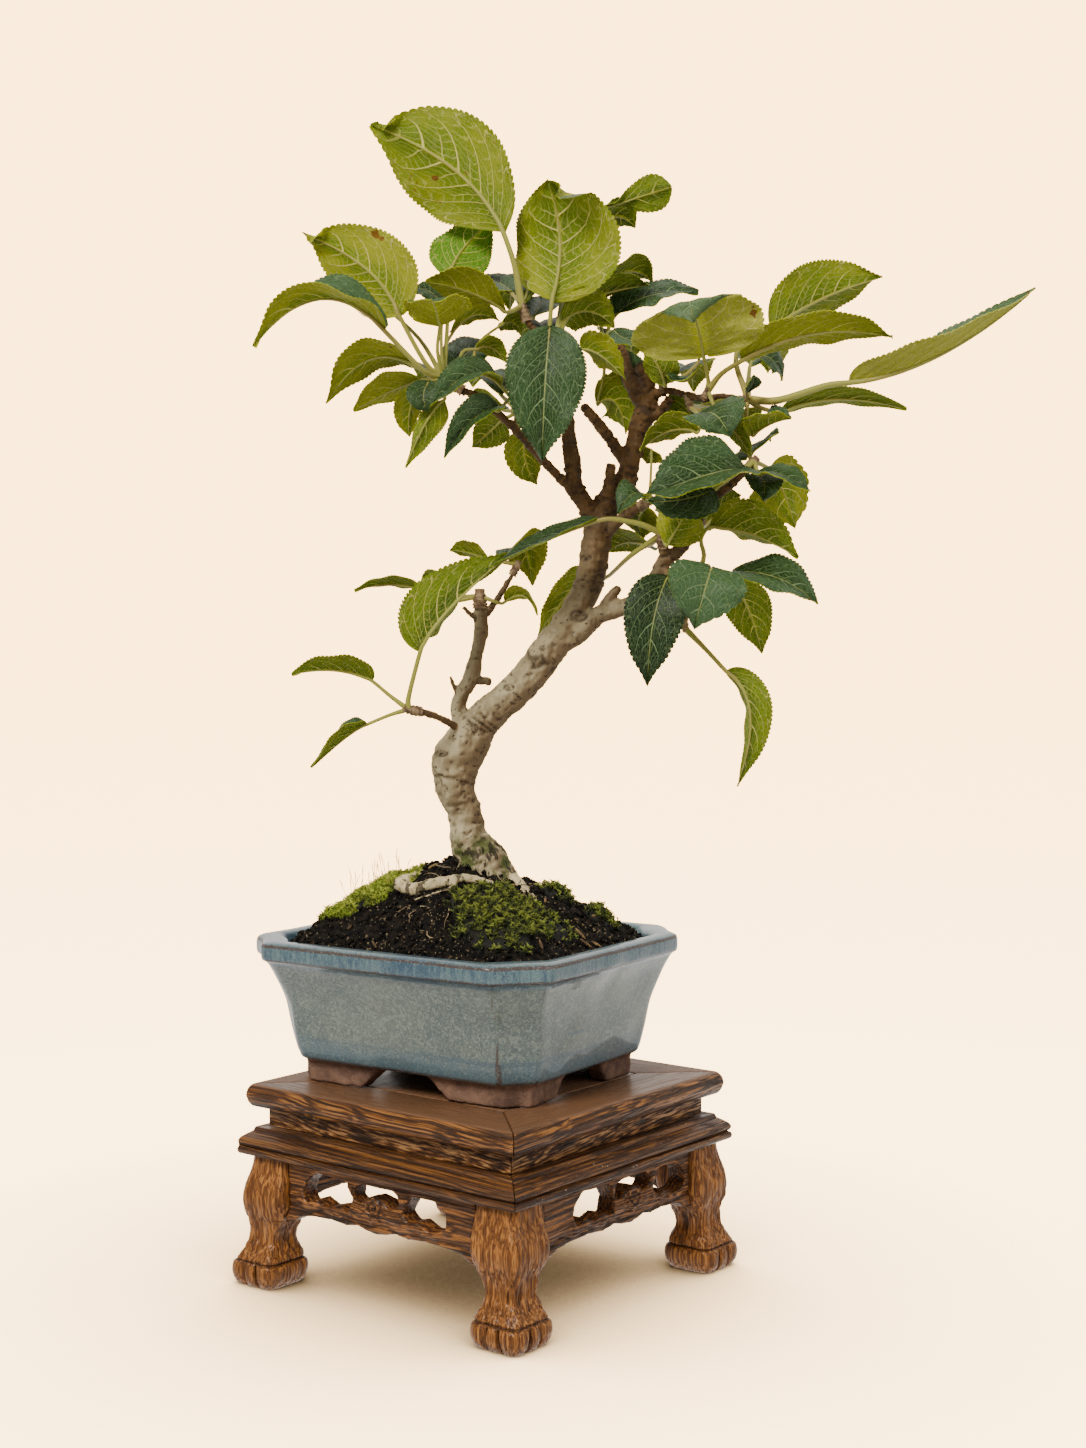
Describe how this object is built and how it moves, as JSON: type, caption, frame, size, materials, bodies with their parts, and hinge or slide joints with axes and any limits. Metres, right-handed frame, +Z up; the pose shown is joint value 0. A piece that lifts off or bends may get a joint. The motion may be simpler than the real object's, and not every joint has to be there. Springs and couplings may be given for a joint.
{
  "type": "crabapple bonsai",
  "caption": "Leaning crabapple bonsai with serrate leaves, in a cut-cornered glazed pot with soil and moss, on a small square carved wood stand with pierced aprons and paw feet.",
  "frame": {"origin": "middle of the footprint box, on the floor", "axes": "+Z up, X along the pot's long side, -Y the stand's front face"},
  "size_m": [0.2748, 0.1986, 0.4699],
  "materials": {
    "leaf": "matt green, paler and yellower underneath",
    "bark": "pale grey-beige bark, dark brown on the limbs",
    "moss": "short velvety moss",
    "soil": "dark crumbs",
    "glaze": "mottled grey-blue glaze, bare brown clay on the feet",
    "panel_wood": "satin dark wood",
    "stand_wood": "satin dark wood with orange flame grain",
    "moulding_wood": "satin dark wood",
    "apron_wood": "satin dark wood, carved",
    "leg_wood": "satin orange-brown wood"
  },
  "bodies": {
    "root": {"leaves_branch_end": "leaf", "leaves_branch_side": "leaf", "leaves_bud_hub": "leaf", "leaves_crown_front": "leaf", "leaves_crown_top": "leaf", "leaves_hanging_end": "leaf", "leaves_hanging_mid": "leaf", "leaves_inner_low": "leaf", "leaves_inner_top": "leaf", "leaves_left_hub": "leaf", "leaves_left_inner": "leaf", "leaves_low_left": "leaf", "leaves_right_mid": "leaf", "leaves_right_tip": "leaf", "leaves_ring_stub": "leaf", "leaves_under_twig": "leaf", "leaves_upper_mid": "leaf", "leaves_upper_right": "leaf", "moss_far_right": "moss", "moss_front": "moss", "moss_left": "moss", "moss_right": "moss", "pot": "glaze", "soil": "soil", "stand_apron_back": "apron_wood", "stand_apron_front": "apron_wood", "stand_apron_left": "apron_wood", "stand_apron_right": "apron_wood", "stand_leg_back": "leg_wood", "stand_leg_front": "leg_wood", "stand_leg_left": "leg_wood", "stand_leg_right": "leg_wood", "stand_moulding_back": "moulding_wood", "stand_moulding_front": "moulding_wood", "stand_moulding_left": "moulding_wood", "stand_moulding_right": "moulding_wood", "stand_panel": "panel_wood", "stand_rail_back": "stand_wood", "stand_rail_front": "stand_wood", "stand_rail_left": "stand_wood", "stand_rail_right": "stand_wood", "stand_waist_back": "stand_wood", "stand_waist_front": "stand_wood", "stand_waist_left": "stand_wood", "stand_waist_right": "stand_wood", "trunk": "bark"}
  },
  "joints": []
}
